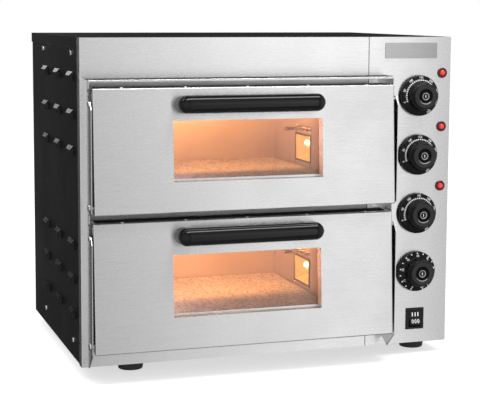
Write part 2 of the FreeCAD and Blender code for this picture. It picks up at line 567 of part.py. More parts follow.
# rocker switch
sh = fuse([bx(SWITCH_X - 14.5, SWITCH_X + 14.5, -2.0, -0.0, SWITCH_D - 16.2, SWITCH_D + 16.2),
           bx(SWITCH_X - 10.6, SWITCH_X + 10.6, -0.5, 24.0, SWITCH_D - 13.6, SWITCH_D + 13.6)])
sh = fillet_edges(sh, 0.9, lambda e: abs(e.BoundBox.YMax - (Y0 - 2.0)) < 1e-3)
sh = sh.cut(bx(SWITCH_X - 9.6, SWITCH_X + 9.6, -5, 12.0, SWITCH_D - 12.7, SWITCH_D + 12.7))
ROCK_Y = 4.0
axle = cyl_x(ROCK_Y, SWITCH_D, 1.5, SWITCH_X - 9.7, SWITCH_X + 9.7)
save("switch_housing", fuse([sh, axle]))
pts = [(-8.4, -11.0), (-8.0, -9.0), (-7.0, -3.0), (-6.8, 0.0), (-7.0, 3.0), (-8.0, 9.0), (-8.4, 11.0), (-7.4, 11.4), (3.0, 8.0), (3.0, -8.0), (-7.4, -11.4)]
v = [Vector(SWITCH_X - 9.2 - W / 2, y, z) for y, z in pts]
v.append(v[0])
rock = Part.Face(Part.makePolygon(v)).extrude(Vector(18.4, 0, 0))
rock = rock.cut(Part.makeCylinder(1.5 + PIN_CLEAR, 30, Vector(SWITCH_X - 15 - W / 2, 0, 0), Vector(1, 0, 0)))
rock.Placement = Placement(P(W / 2, ROCK_Y, SWITCH_D), Rotation(Vector(1, 0, 0), -ROCKER_REST))
save("switch_rocker", rock)

# terminal block on the divider and the cable gland in the rear panel
tb = bx(439.3, 461.0, 330.0, 372.0, 395.0, 435.0)
tb = tb.cut([cyl_x(340.0 + 11 * i, 405.0, 3.0, 452.0, 463.0) for i in range(3)] +
            [cyl_x(340.0 + 11 * i, 425.0, 3.0, 452.0, 463.0) for i in range(3)])
save("terminal_block", tb)
gl = fuse([cyl_y(GX, GD, 8.0, D - 14, D), cyl_y(GX, GD, 12.0, D - 0.1, D + 4.5), cyl_y(GX, GD, 12.0, D - 8.0, D - SHEET - 0.1),
           cyl_y(GX, GD, 9.6, D + 4.5, D + GLAND_OUT)])
gl = fillet_edges(gl, 2.0, lambda e: abs(e.BoundBox.YMin - (Y0 + D + GLAND_OUT)) < 1e-3)
save("cable_gland", gl.cut(cyl_y(GX, GD, 4.0, D - 20, D + 20)))

# ================================================================ feet and casing screws
feet = []
for fx in (FOOT_X):
    for fy in (48.0, D - 48.0):
        f = Part.makeCone(FOOT_R - 2.0, FOOT_R, 12.0, P(fx, fy, H + FOOT_H), Vector(0, 0, 1))
        g = Part.makeCylinder(FOOT_R, FOOT_H - 12.0, P(fx, fy, H + FOOT_H - 12.0), Vector(0, 0, 1))
        s = fuse([f, g])
        s = s.cut(Part.makeCylinder(6.0, 8.0, P(fx, fy, H + FOOT_H), Vector(0, 0, 1)))
        feet.append(s)
save("feet", group(feet))

scr = []
def pan_head(base, axis, r=4.2, h=1.8, shank=6.0, rs=2.0):
    hd = Part.makeCylinder(r, h, base, axis)
    tip = base + axis * h
    hd = hd.makeFillet(1.0, [e for e in hd.Edges if (e.CenterOfMass - tip).Length < 1e-3])
    sh = Part.makeCylinder(rs, shank, base - axis * shank, axis)
    return hd.fuse(sh).removeSplitter()
for yc in SIDE_SCREW_Y:
    for dc in (23.0, 434.5):
        scr.append(pan_head(P(1.2, yc, dc), Vector(-1, 0, 0), shank=1.2))
        scr.append(pan_head(P(W - 1.2, yc, dc), Vector(1, 0, 0), shank=1.2))
for sx in (20.0, 280.0, 540.0):
    for sd in (24.0, 440.0):
        scr.append(pan_head(P(sx, D - 0.1, sd), Vector(0, 1, 0), shank=1.2))
save("panel_screws", group(scr))

box = Part.makeCompound(list(NODES.values())).BoundBox
print(len(NODES), "nodes; box", [round(v, 2) for v in (box.XMin, box.XMax, box.YMin, box.YMax, box.ZMin, box.ZMax)])
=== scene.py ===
import math

import bmesh
import bpy
import numpy as np
from mathutils import Matrix, Vector, noise


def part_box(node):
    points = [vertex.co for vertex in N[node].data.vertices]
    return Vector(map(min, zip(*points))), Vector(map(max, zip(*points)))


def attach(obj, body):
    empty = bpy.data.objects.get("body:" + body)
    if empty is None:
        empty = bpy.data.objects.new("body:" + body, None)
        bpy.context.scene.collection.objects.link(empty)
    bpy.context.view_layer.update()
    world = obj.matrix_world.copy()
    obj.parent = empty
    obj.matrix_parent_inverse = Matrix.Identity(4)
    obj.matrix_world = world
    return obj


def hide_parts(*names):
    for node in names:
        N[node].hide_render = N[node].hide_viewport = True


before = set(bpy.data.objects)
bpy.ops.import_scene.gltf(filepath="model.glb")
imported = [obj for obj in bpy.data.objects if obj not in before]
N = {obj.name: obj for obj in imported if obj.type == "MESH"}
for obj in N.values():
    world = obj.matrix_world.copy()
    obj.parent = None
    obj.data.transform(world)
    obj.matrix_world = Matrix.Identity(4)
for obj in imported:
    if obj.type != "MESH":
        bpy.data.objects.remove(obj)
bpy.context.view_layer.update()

scene = bpy.context.scene
scene.view_settings.view_transform = "Standard"
scene.view_settings.look = "None"

# oven coordinates of the design: x from the left edge, y back from the front plate, d down from the top, in mm
X_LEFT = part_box("top_cover")[0].x
Y_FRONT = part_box("front_frame")[0].y
Z_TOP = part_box("top_cover")[1].z


def P(x, y, d):
    return Vector((X_LEFT + x * 0.001, Y_FRONT + y * 0.001, Z_TOP - d * 0.001))


# ------------------------------------------------------------------ node helpers
def material(name, colour=(0.8, 0.8, 0.8), metallic=0.0, rough=0.5, **extra):
    m = bpy.data.materials.new(name)
    m.use_nodes = True
    nt = m.node_tree
    nt.nodes.clear()
    out = nt.nodes.new("ShaderNodeOutputMaterial")
    b = nt.nodes.new("ShaderNodeBsdfPrincipled")
    nt.links.new(b.outputs[0], out.inputs["Surface"])
    b.inputs["Base Color"].default_value = (*colour, 1)
    b.inputs["Metallic"].default_value = metallic
    b.inputs["Roughness"].default_value = rough
    for k, v in extra.items():
        b.inputs[k.replace("_", " ")].default_value = v
    return m, nt, b


def coords(nt, scale=(1, 1, 1), loc=(0, 0, 0), rot=(0, 0, 0)):
    tc = nt.nodes.new("ShaderNodeTexCoord")
    mp = nt.nodes.new("ShaderNodeMapping")
    mp.inputs["Scale"].default_value = scale
    mp.inputs["Location"].default_value = loc
    mp.inputs["Rotation"].default_value = rot
    nt.links.new(tc.outputs["Object"], mp.inputs["Vector"])
    return mp.outputs[0]


def noise_tex(nt, vec, scale, detail=2.0, rough=0.5, distort=0.0):
    n = nt.nodes.new("ShaderNodeTexNoise")
    n.inputs["Scale"].default_value = scale
    n.inputs["Detail"].default_value = detail
    n.inputs["Roughness"].default_value = rough
    n.inputs["Distortion"].default_value = distort
    nt.links.new(vec, n.inputs["Vector"])
    return n.outputs[0]


def voronoi(nt, vec, scale, feature="F1"):
    n = nt.nodes.new("ShaderNodeTexVoronoi")
    n.feature = feature
    n.inputs["Scale"].default_value = scale
    nt.links.new(vec, n.inputs["Vector"])
    return n


def remap(nt, value, a, b, lo, hi):
    n = nt.nodes.new("ShaderNodeMapRange")
    n.inputs["From Min"].default_value = a
    n.inputs["From Max"].default_value = b
    n.inputs["To Min"].default_value = lo
    n.inputs["To Max"].default_value = hi
    nt.links.new(value, n.inputs["Value"])
    return n.outputs[0]


def ramp(nt, value, stops):
    r = nt.nodes.new("ShaderNodeValToRGB")
    e = r.color_ramp.elements
    while len(e) < len(stops):
        e.new(0.5)
    for el, (p, c) in zip(e, stops):
        el.position = p
        el.color = (*c, 1) if len(c) == 3 else c
    nt.links.new(value, r.inputs[0])
    return r.outputs[0]


def mix(nt, fac, a, b, mode="MIX"):
    m = nt.nodes.new("ShaderNodeMix")
    m.data_type = "RGBA"
    m.blend_type = mode
    for sock, v in ((m.inputs[0], fac), (m.inputs[6], a), (m.inputs[7], b)):
        if isinstance(v, bpy.types.NodeSocket):
            nt.links.new(v, sock)
        elif isinstance(v, (int, float)):
            sock.default_value = v if sock == m.inputs[0] else (v, v, v, 1)
        else:
            sock.default_value = (*v, 1)
    return m.outputs[2]


def math_node(nt, op, a, b=0.0):
    m = nt.nodes.new("ShaderNodeMath")
    m.operation = op
    for sock, v in ((m.inputs[0], a), (m.inputs[1], b)):
        if isinstance(v, bpy.types.NodeSocket):
            nt.links.new(v, sock)
        else:
            sock.default_value = v
    return m.outputs[0]


def bump(nt, bsdf, height, distance, strength=1.0, chain=None):
    b = nt.nodes.new("ShaderNodeBump")
    b.inputs["Strength"].default_value = strength
    b.inputs["Distance"].default_value = distance
    nt.links.new(height, b.inputs["Height"])
    if chain is not None:
        nt.links.new(chain, b.inputs["Normal"])
    nt.links.new(b.outputs[0], bsdf.inputs["Normal"])
    return b.outputs[0]


# ------------------------------------------------------------------ materials
def brushed(name, tone, rough, grain=(22, 620, 620), fine=(90, 2600, 2600), aniso=0.9, tint=(1, 1, 1), depth=0.00003,
            tangent="Z", smear=0.06, painted_recess_shade=None):
    """Brushed stainless sheet. The grain runs along x unless the scales say otherwise."""
    m, nt, b = material(name, (tone * tint[0], tone * tint[1], tone * tint[2]), 1.0, rough, Anisotropic=aniso,
                        Anisotropic_Rotation=0.25)
    coarse = noise_tex(nt, coords(nt, grain), 1.0, 3.0, 0.6)
    small = noise_tex(nt, coords(nt, fine, (3, 7, 1)), 1.0, 2.0, 0.6)
    cloud = noise_tex(nt, coords(nt, (1, 1, 1), (2, 5, 9)), 9.0, 3.0, 0.5)
    g = mix(nt, 0.5, coarse, small)
    dark = tuple(tone * t * (1 - smear) for t in tint)
    light = tuple(min(1, tone * t * (1 + smear * 0.6)) for t in tint)
    col = ramp(nt, g, [(0.3, dark), (0.7, light)])
    col = mix(nt, remap(nt, cloud, 0.35, 0.75, 0.0, 0.25), col, tuple(c * 0.9 for c in dark))
    if painted_recess_shade is not None:
        # painted shade: the steel round the chamber mouths, behind the doors, is darkened in cloudy patches to stand in
        # for the shade in the recesses between and around the doors
        (hx0, hz0), (hx1, hz1) = painted_recess_shade
        sp = nt.nodes.new("ShaderNodeSeparateXYZ")
        nt.links.new(coords(nt), sp.inputs[0])
        edge = [remap(nt, sp.outputs["X"], hx0, hx0 + 0.003, 0.0, 1.0), remap(nt, sp.outputs["X"], hx1 - 0.003, hx1, 1.0, 0.0),
                remap(nt, sp.outputs["Z"], hz0, hz0 + 0.003, 0.0, 1.0), remap(nt, sp.outputs["Z"], hz1 - 0.009, hz1 - 0.0015, 1.0, 0.0)]
        f = math_node(nt, "MULTIPLY", math_node(nt, "MULTIPLY", edge[0], edge[1]), math_node(nt, "MULTIPLY", edge[2], edge[3]))
        patch = remap(nt, cloud, 0.3, 0.7, 0.84, 0.95)
        col = mix(nt, math_node(nt, "MULTIPLY", f, patch), col, (0.33, 0.325, 0.32))
    nt.links.new(col, b.inputs["Base Color"])
    r = math_node(nt, "ADD", remap(nt, g, 0.3, 0.7, rough - 0.05, rough + 0.05), remap(nt, cloud, 0.3, 0.7, -0.02, 0.03))
    nt.links.new(r, b.inputs["Roughness"])
    bump(nt, b, g, depth, 0.35)
    t = nt.nodes.new("ShaderNodeTangent")
    t.direction_type = "RADIAL"
    t.axis = tangent
    nt.links.new(t.outputs[0], b.inputs["Tangent"])
    return m


def powder(name, colour, rough, peel=900.0, depth=0.00006, spec=0.5, dust=0.35):
    """Powder-coated sheet: fine orange peel, faint dust and rub marks."""
    m, nt, b = material(name, colour, 0.0, rough, Specular_IOR_Level=spec)
    v = coords(nt)
    peel_n = noise_tex(nt, v, peel, 3.0, 0.55)
    cloud = noise_tex(nt, v, 7.0, 4.0, 0.6)
    scuff = noise_tex(nt, coords(nt, (14, 14, 160)), 1.0, 4.0, 0.7)
    light = tuple(c * 1.25 + 0.002 for c in colour)
    col = mix(nt, remap(nt, cloud, 0.35, 0.7, 0.0, dust), colour, light)
    col = mix(nt, remap(nt, scuff, 0.62, 0.8, 0.0, 0.35), col, tuple(c * 1.6 + 0.003 for c in colour))
    nt.links.new(col, b.inputs["Base Color"])
    nt.links.new(remap(nt, cloud, 0.3, 0.7, rough - 0.05, rough + 0.07), b.inputs["Roughness"])
    bump(nt, b, peel_n, depth, 0.6)
    return m


def plastic(name, colour, rough, grain=1400.0, depth=0.00003, coat=0.0, var=0.25, spec=0.5):
    """Moulded plastic with a fine spark-eroded grain and slightly uneven gloss."""
    m, nt, b = material(name, colour, 0.0, rough, Specular_IOR_Level=spec, Coat_Weight=coat, Coat_Roughness=0.05)
    v = coords(nt)
    cloud = noise_tex(nt, v, 60.0, 3.0, 0.6)
    gr = noise_tex(nt, v, grain, 2.0, 0.5)
    col = mix(nt, remap(nt, cloud, 0.35, 0.7, 0.0, var), colour, tuple(min(1, c * 1.6 + 0.008) for c in colour))
    nt.links.new(col, b.inputs["Base Color"])
    nt.links.new(remap(nt, cloud, 0.3, 0.7, max(0.02, rough - 0.04), rough + 0.06), b.inputs["Roughness"])
    bump(nt, b, gr, depth, 0.5)
    return m


def bright_metal(name, tone, rough, tint=(1, 1, 1), marks=500.0):
    m, nt, b = material(name, tuple(tone * t for t in tint), 1.0, rough)
    v = coords(nt)
    n1 = noise_tex(nt, v, marks, 3.0, 0.6)
    n2 = noise_tex(nt, v, 40.0, 3.0, 0.6)
    col = mix(nt, remap(nt, n2, 0.35, 0.7, 0.0, 0.4), tuple(tone * t for t in tint), tuple(tone * 0.8 * t for t in tint))
    nt.links.new(col, b.inputs["Base Color"])
    nt.links.new(remap(nt, n1, 0.3, 0.7, max(0.05, rough - 0.06), rough + 0.1), b.inputs["Roughness"])
    bump(nt, b, n1, 0.00003, 0.4)
    return m


M = {}
M["steel"] = brushed("brushed_fascia_steel", 0.86, 0.27)
# the front frame carries the painted shade band round the chamber mouths
M["frame_steel"] = brushed("front_frame_steel", 0.86, 0.27, painted_recess_shade=((P(11, 0, 0).x, P(0, 0, 434).z), (P(453, 0, 0).x, P(0, 0, 57.5).z)))
# painted shade: the door and hood steel are darker copies of the fascia steel (0.75 and 0.72 against 0.86), toned down
# to dim the doors and the light in the recess under the hood
M["door"] = brushed("brushed_door_steel", 0.75, 0.27)
M["surround"] = brushed("hood_steel", 0.72, 0.27)
M["badge"] = brushed("badge_metal", 0.46, 0.2, grain=(10, 900, 900), aniso=0.5, smear=0.12)
M["side"] = powder("black_side_paint", (0.0028, 0.0028, 0.0029), 0.27, depth=0.00003, spec=0.28)
M["top"] = powder("top_cover_paint", (0.006, 0.006, 0.0062), 0.24, depth=0.00002, spec=0.12)
M["screw"] = bright_metal("zinc_screw", 0.85, 0.22)
M["pin"] = bright_metal("hinge_pin_steel", 0.88, 0.16)
M["element"] = bright_metal("element_tube", 0.16, 0.45, (1.0, 0.86, 0.76), 300.0)
M["probe"] = bright_metal("probe_steel", 0.7, 0.25, (1.0, 0.9, 0.82))
M["inner_door"] = brushed("door_inner_steel", 0.3, 0.34, aniso=0.3, tint=(1.0, 0.97, 0.93))
M["handle"] = plastic("handle_gloss_black", (0.003, 0.003, 0.0032), 0.1, 700.0, 0.000006, coat=0.0, var=0.1, spec=0.3)
M["knob"] = plastic("knob_black", (0.003, 0.003, 0.0032), 0.3, 1500.0, 0.00003, spec=0.22)
# painted light and shade: the knob's front face is a lighter copy of the black plastic, and the recessed well a darker,
# duller copy
M["knob_face"] = plastic("knob_face_black", (0.014, 0.014, 0.0145), 0.42, 1800.0, 0.00005, spec=0.35)
M["knob_well"] = plastic("knob_well_black", (0.001, 0.001, 0.001), 0.5, 1500.0, 0.00002, spec=0.1)
M["switch"] = plastic("switch_black", (0.006, 0.006, 0.006), 0.3, 1200.0, 0.00002, spec=0.3)
M["bezel"] = plastic("pilot_bezel", (0.035, 0.002, 0.003), 0.18, 900.0, 0.00001, coat=0.5)
M["control"] = plastic("control_body_plastic", (0.045, 0.042, 0.038), 0.5, 700.0)
M["terminal"] = plastic("terminal_ceramic", (0.62, 0.58, 0.5), 0.55, 500.0)
M["gland"] = plastic("gland_nylon", (0.018, 0.018, 0.018), 0.45, 800.0)
M["print"] = plastic("dial_print", (0.82, 0.82, 0.8), 0.5, 900.0, 0.00001, var=0.3)
M["print_green"] = plastic("switch_print", (0.62, 0.74, 0.66), 0.5, 900.0, 0.00001, var=0.3)


def make_rubber():
    m, nt, b = material("foot_rubber", (0.012, 0.012, 0.012), 0.0, 0.7)
    v = coords(nt)
    n1, n2 = noise_tex(nt, v, 900.0, 4.0, 0.6), noise_tex(nt, v, 90.0, 4.0, 0.6)
    nt.links.new(mix(nt, remap(nt, n2, 0.4, 0.7, 0.0, 0.6), (0.010, 0.010, 0.010), (0.035, 0.034, 0.032)), b.inputs["Base Color"])
    nt.links.new(remap(nt, n2, 0.3, 0.7, 0.6, 0.85), b.inputs["Roughness"])
    bump(nt, b, n1, 0.0001, 0.6)
    return m


def make_galvanised():
    m, nt, b = material("galvanised_sheet", (0.55, 0.56, 0.57), 1.0, 0.42)
    v = coords(nt)
    vor = voronoi(nt, v, 60.0)
    fine = noise_tex(nt, v, 260.0, 4.0, 0.6)
    col = ramp(nt, vor.outputs["Color"], [(0.0, (0.42, 0.43, 0.45)), (1.0, (0.68, 0.69, 0.70))])
    col = mix(nt, remap(nt, fine, 0.4, 0.8, 0.0, 0.4), col, (0.38, 0.38, 0.38))
    nt.links.new(col, b.inputs["Base Color"])
    nt.links.new(remap(nt, fine, 0.3, 0.7, 0.34, 0.56), b.inputs["Roughness"])
    bump(nt, b, fine, 0.00005, 0.4)
    return m


def make_chamber():
    """Heat-resistant steel liner, softly rolled, with a faint straw tint from heating."""
    m, nt, b = material("chamber_liner_steel", (0.5, 0.45, 0.42), 0.6, 0.36)
    v = coords(nt)
    roll = noise_tex(nt, coords(nt, (160, 160, 4)), 1.0, 2.0, 0.5)
    cloud = noise_tex(nt, v, 6.0, 4.0, 0.6)
    spots = noise_tex(nt, v, 160.0, 4.0, 0.7)
    col = ramp(nt, cloud, [(0.3, (0.52, 0.48, 0.47)), (0.55, (0.60, 0.53, 0.48)), (0.75, (0.54, 0.46, 0.40))])
    col = mix(nt, remap(nt, spots, 0.62, 0.8, 0.0, 0.35), col, (0.35, 0.29, 0.25))
    nt.links.new(col, b.inputs["Base Color"])
    nt.links.new(remap(nt, roll, 0.3, 0.7, 0.3, 0.42), b.inputs["Roughness"])
    bump(nt, b, roll, 0.00004, 0.3)
    return m


def make_stone():
    """Refractory stone: pale tan body, dark and light grains, fine open pores."""
    m, nt, b = material("baking_stone", (0.62, 0.48, 0.36), 0.0, 0.85)
    v = coords(nt)
    cloud = noise_tex(nt, v, 22.0, 4.0, 0.6)
    grains = voronoi(nt, v, 330.0)
    pits = voronoi(nt, coords(nt, (1, 1, 1), (4, 2, 7)), 300.0)
    fine = noise_tex(nt, v, 1300.0, 3.0, 0.6)
    col = ramp(nt, cloud, [(0.3, (0.60, 0.57, 0.53)), (0.7, (0.76, 0.73, 0.69))])
    col = mix(nt, remap(nt, grains.outputs["Color"], 0.6, 0.8, 0.0, 0.85), col, (0.26, 0.20, 0.16))
    col = mix(nt, remap(nt, grains.outputs["Color"], 0.0, 0.2, 0.55, 0.0), col, (0.92, 0.84, 0.72))
    col = mix(nt, remap(nt, fine, 0.35, 0.7, 0.0, 0.35), col, (0.46, 0.39, 0.33))
    nt.links.new(col, b.inputs["Base Color"])
    nt.links.new(remap(nt, fine, 0.3, 0.7, 0.75, 0.95), b.inputs["Roughness"])
    h = math_node(nt, "ADD", remap(nt, pits.outputs["Distance"], 0.0, 0.25, 0.0, 1.0), fine)
    bump(nt, b, h, 0.0004, 0.7)
    return m


def make_reflector():
    # painted light: the housing's yellow to orange colour stands in for the warm light of the lamp falling on it
    m, nt, b = material("lamp_reflector_painted_glow", (0.9, 0.72, 0.36), 0.3, 0.32)
    v = coords(nt)
    n1 = noise_tex(nt, v, 120.0, 4.0, 0.6)
    nt.links.new(mix(nt, remap(nt, n1, 0.35, 0.7, 0.0, 0.5), (0.92, 0.78, 0.42), (0.82, 0.55, 0.2)), b.inputs["Base Color"])
    nt.links.new(remap(nt, n1, 0.3, 0.7, 0.25, 0.42), b.inputs["Roughness"])
    bump(nt, b, n1, 0.0001, 0.4)
    return m


def make_lamp_glass():
    m, nt, b = material("lamp_glow", (1.0, 0.78, 0.42), 0.0, 0.2)
    b.inputs["Emission Color"].default_value = (1.0, 0.66, 0.28, 1)
    b.inputs["Emission Strength"].default_value = 0.18
    v = coords(nt)
    n1 = noise_tex(nt, v, 220.0, 3.0, 0.6)
    nt.links.new(mix(nt, n1, (1.0, 0.85, 0.55), (1.0, 0.66, 0.3)), b.inputs["Base Color"])
    return m


def make_wool():
    m, nt, b = material("mineral_wool", (0.62, 0.56, 0.36), 0.0, 0.95)
    n1 = noise_tex(nt, coords(nt, (60, 60, 900)), 1.0, 5.0, 0.7)
    n2 = noise_tex(nt, coords(nt), 400.0, 4.0, 0.7)
    nt.links.new(ramp(nt, mix(nt, 0.5, n1, n2), [(0.3, (0.48, 0.42, 0.24)), (0.7, (0.78, 0.72, 0.5))]), b.inputs["Base Color"])
    nt.links.new(remap(nt, n2, 0.2, 0.8, 0.85, 1.0), b.inputs["Roughness"])
    bump(nt, b, n1, 0.0006, 0.8)
    return m


def make_glass():
    """Tempered door glass, a little warm, with faint smears in the gloss."""
    m, nt, b = material("door_glass", (1.0, 0.98, 0.95), 0.0, 0.02, Transmission_Weight=1.0, IOR=1.45)
    n1 = noise_tex(nt, coords(nt), 25.0, 4.0, 0.6)
    nt.links.new(remap(nt, n1, 0.45, 0.8, 0.0, 0.035), b.inputs["Roughness"])
    return m


def make_pilot():
    m, nt, b = material("pilot_lens_red", (0.72, 0.03, 0.03), 0.0, 0.1, Coat_Weight=0.6)
    v = coords(nt)
    cells = voronoi(nt, v, 900.0)
    col = mix(nt, remap(nt, cells.outputs["Distance"], 0.0, 0.6, 0.0, 1.0), (0.95, 0.12, 0.09), (0.55, 0.008, 0.01))
    nt.links.new(col, b.inputs["Base Color"])
    b.inputs["Emission Color"].default_value = (0.9, 0.045, 0.04, 1)
    b.inputs["Emission Strength"].default_value = 0.22
    bump(nt, b, cells.outputs["Distance"], 0.0002, 0.5)
    return m


M["rubber"] = make_rubber()
M["galvanised"] = make_galvanised()
M["chamber"] = make_chamber()
M["stone"] = make_stone()
M["reflector"] = make_reflector()
M["lamp"] = make_lamp_glass()
M["wool"] = make_wool()
M["glass"] = make_glass()
M["pilot"] = make_pilot()
M["lamp_frame"] = bright_metal("lamp_frame_steel", 0.22, 0.4, (1.0, 0.82, 0.7))
M["dark_metal"] = bright_metal("zinc_plate", 0.6, 0.35)

LOOK = {
    "base_pan": "galvanised", "rear_panel": "galvanised", "top_cover": "top", "left_side_panel": "side",
    "right_side_panel": "side", "front_frame": "frame_steel", "control_panel": "steel", "badge_plate": "badge",
    "door_surround": "surround", "hinge_pins": "pin", "door_stop_studs": "pin", "upper_chamber": "chamber",
    "lower_chamber": "chamber", "upper_elements": "element", "lower_elements": "element", "lamp_housings": "reflector",
    "lamp_bulbs": "lamp", "probe_brackets": "probe", "divider_panel": "galvanised", "insulation_top": "wool",
    "insulation_middle": "wool", "insulation_bottom": "wool", "thermostats": "dark_metal", "timer": "control",
    "temp_shaft_1": "screw", "temp_shaft_2": "screw", "temp_shaft_3": "screw", "timer_shaft": "screw",
    "pilot_bezels": "bezel", "switch_housing": "switch", "switch_rocker": "switch", "terminal_block": "terminal",
    "cable_gland": "gland", "feet": "rubber", "panel_screws": "screw", "upper_stone": "stone", "lower_stone": "stone",
    "pilot_lenses": "pilot",
}
for p in ("upper_door", "lower_door"):
    LOOK.update({p + "_skin": "door", p + "_glass": "glass", p + "_glass_retainer": "dark_metal", p + "_inner_panel": "inner_door",
                 p + "_insulation": "wool", p + "_hinge_bushes": "dark_metal", p + "_handle": "handle", p + "_screws": "screw"})
for k in ("temp_knob_1", "temp_knob_2", "temp_knob_3", "timer_knob"):
    LOOK[k] = "knob"
for name, o in N.items():
    mat = M[LOOK[name]]
    if not o.material_slots:
        o.data.materials.append(mat)
    for s in o.material_slots:
        s.material = mat


# ------------------------------------------------------------------ mesh helpers
def add_mesh(name, verts, faces, mats, body, slot=None, replaces=(), sharp=35.0, face_mat=None, recalc=True):
    me = bpy.data.meshes.new(name)
    me.from_pydata([tuple(v) for v in verts], [], faces)
    me.update()
    if recalc:
        bm = bmesh.new()
        bm.from_mesh(me)
        bmesh.ops.recalc_face_normals(bm, faces=bm.faces)
        bm.to_mesh(me)
        bm.free()
    for m in (mats if isinstance(mats, (list, tuple)) else [mats]):
        me.materials.append(m)
    if face_mat is not None:
        me.polygons.foreach_set("material_index", face_mat)
    me.shade_smooth()
    me.set_sharp_from_angle(angle=math.radians(sharp))
    o = bpy.data.objects.new(name, me)
    scene.collection.objects.link(o)
    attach(o, body)
    if replaces:
        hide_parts(*replaces)
    return o


class Build:
    """Collects several closed shapes into one piece."""

    def __init__(self):
        self.v, self.f, self.m = [], [], []

    def add(self, verts, faces, mat=0):
        k = len(self.v)
        self.v += [Vector(p) for p in verts]
        self.f += [[i + k for i in f] for f in faces]
        self.m += [mat] * len(faces)

    def lathe(self, profile, centre, axis, n=48, mat=0, wobble=None, mats=None):
        """(r, h) profile turned about axis through centre. Ends with r 0 close the shape."""
        axis = Vector(axis).normalized()
        u = axis.orthogonal().normalized()
        w = axis.cross(u)
        rows, verts, faces, fm = [], [], [], []
        for i, (r, h) in enumerate(profile):
            if r < 1e-9:
                rows.append([len(verts)])
                verts.append(centre + axis * h)
                continue
            row = []
            for j in range(n):
                a = 2 * math.pi * j / n
                rr = r + (wobble(i, a) if wobble else 0.0)
                row.append(len(verts))
                verts.append(centre + axis * h + (u * math.cos(a) + w * math.sin(a)) * rr)
            rows.append(row)
        for i in range(len(rows) - 1):
            a, b = rows[i], rows[i + 1]
            mi = mats[i] if mats else mat
            if len(a) == 1 and len(b) == 1:
                continue
            for j in range(n):
                k = (j + 1) % n
                if len(a) == 1:
                    faces.append([a[0], b[j], b[k]])
                elif len(b) == 1:
                    faces.append([a[j], b[0], a[k]])
                else:
                    faces.append([a[j], b[j], b[k], a[k]])
                fm.append(mi)
        k = len(self.v)
        self.v += verts
        self.f += [[i + k for i in f] for f in faces]
        self.m += fm

    def box(self, lo, hi, mat=0):
        x0, y0, z0 = lo
        x1, y1, z1 = hi
        v = [(x0, y0, z0), (x1, y0, z0), (x1, y1, z0), (x0, y1, z0), (x0, y0, z1), (x1, y0, z1), (x1, y1, z1), (x0, y1, z1)]
        self.add(v, [[0, 3, 2, 1], [4, 5, 6, 7], [0, 1, 5, 4], [1, 2, 6, 5], [2, 3, 7, 6], [3, 0, 4, 7]], mat)

    def piece(self, name, mats, body, **kw):
        return add_mesh(name, self.v, self.f, mats, body, face_mat=self.m, **kw)


MM = 0.001


# ------------------------------------------------------------------ cross-recess screw heads
def screw_head(b, base, axis, r, h, shank=0.0, rs=0.0, cross=True, mat=0, dark=1, turn=0.3):
    """Pan head with a cross recess cut as a real pocket: a ring of wall faces down to a floor, in the dark material
    that paints the shade in the pocket.
    """
    axis = Vector(axis).normalized()
    u = axis.orthogonal().normalized()
    w = axis.cross(u)
    cu = u * math.cos(turn) + w * math.sin(turn)
    cw = axis.cross(cu)
    n = 48
    arm, half = r * 0.58, r * 0.13

    def cross_r(a):
        best = 1e9
        for k in range(4):
            t = (a - k * math.pi / 2 + math.pi) % (2 * math.pi) - math.pi
            if abs(t) <= math.pi / 4 + 1e-9:
                side = half / max(1e-9, abs(math.sin(t)))
                end = arm / max(1e-9, math.cos(t))
                best = min(side, end)
        return max(best, half)

    rings = []
    if shank:
        rings += [("c", 0.0, -shank), ("r", rs, -shank), ("r", rs, 0.0)]
    else:
        rings += [("c", 0.0, 0.0)]
    rings += [("r", r, 0.0), ("r", r, h * 0.35), ("r", r * 0.93, h * 0.72), ("r", r * 0.8, h * 0.93)]
    if cross:
        rings += [("x", 1.0, h * 1.0), ("x", 0.82, h * 0.35), ("c", 0.0, h * 0.3)]
    else:
        rings += [("r", r * 0.4, h), ("c", 0.0, h)]
    verts, rows = [], []
    for kind, q, z in rings:
        if kind == "c":
            rows.append([len(verts)])
            verts.append(base + axis * z)
            continue
        row = []
        for j in range(n):
            a = 2 * math.pi * j / n
            rr = q if kind == "r" else q * cross_r(a)
            row.append(len(verts))
            verts.append(base + axis * z + (cu * math.cos(a) + cw * math.sin(a)) * rr)
        rows.append(row)
    faces, fm = [], []
    for i in range(len(rows) - 1):
        a, c = rows[i], rows[i + 1]
        deep = cross and i >= len(rows) - 3
        for j in range(n):
            k = (j + 1) % n
            if len(a) == 1:
                faces.append([a[0], c[j], c[k]])
            elif len(c) == 1:
                faces.append([a[j], c[0], a[k]])
            else:
                faces.append([a[j], c[j], c[k], a[k]])
            fm.append(dark if deep else mat)
    k0 = len(b.v)
    b.v += verts
    b.f += [[i + k0 for i in f] for f in faces]
    b.m += fm


# painted shade: the cross recess walls and floor get a dark copy of the screw metal
M["recess"] = bright_metal("screw_recess_painted_shade", 0.25, 0.5)

b = Build()
for yc in (65.0, 287.0):
    for dc in (23.0, 434.5):
        screw_head(b, P(1.2, yc, dc), (-1, 0, 0), 4.2 * MM, 1.8 * MM, turn=0.4 + yc * 0.01)
        screw_head(b, P(560.0 - 1.2, yc, dc), (1, 0, 0), 4.2 * MM, 1.8 * MM, turn=0.9 + yc * 0.02)
for sx in (20.0, 280.0, 540.0):
    for sd in (24.0, 440.0):
        screw_head(b, P(sx, 390.0 - 0.1, sd), (0, 1, 0), 4.2 * MM, 1.8 * MM, turn=0.2 + sx * 0.01)
b.piece("casing_screws", [M["screw"], M["recess"]], "cabinet", slot="screw_steel", replaces=("panel_screws",))

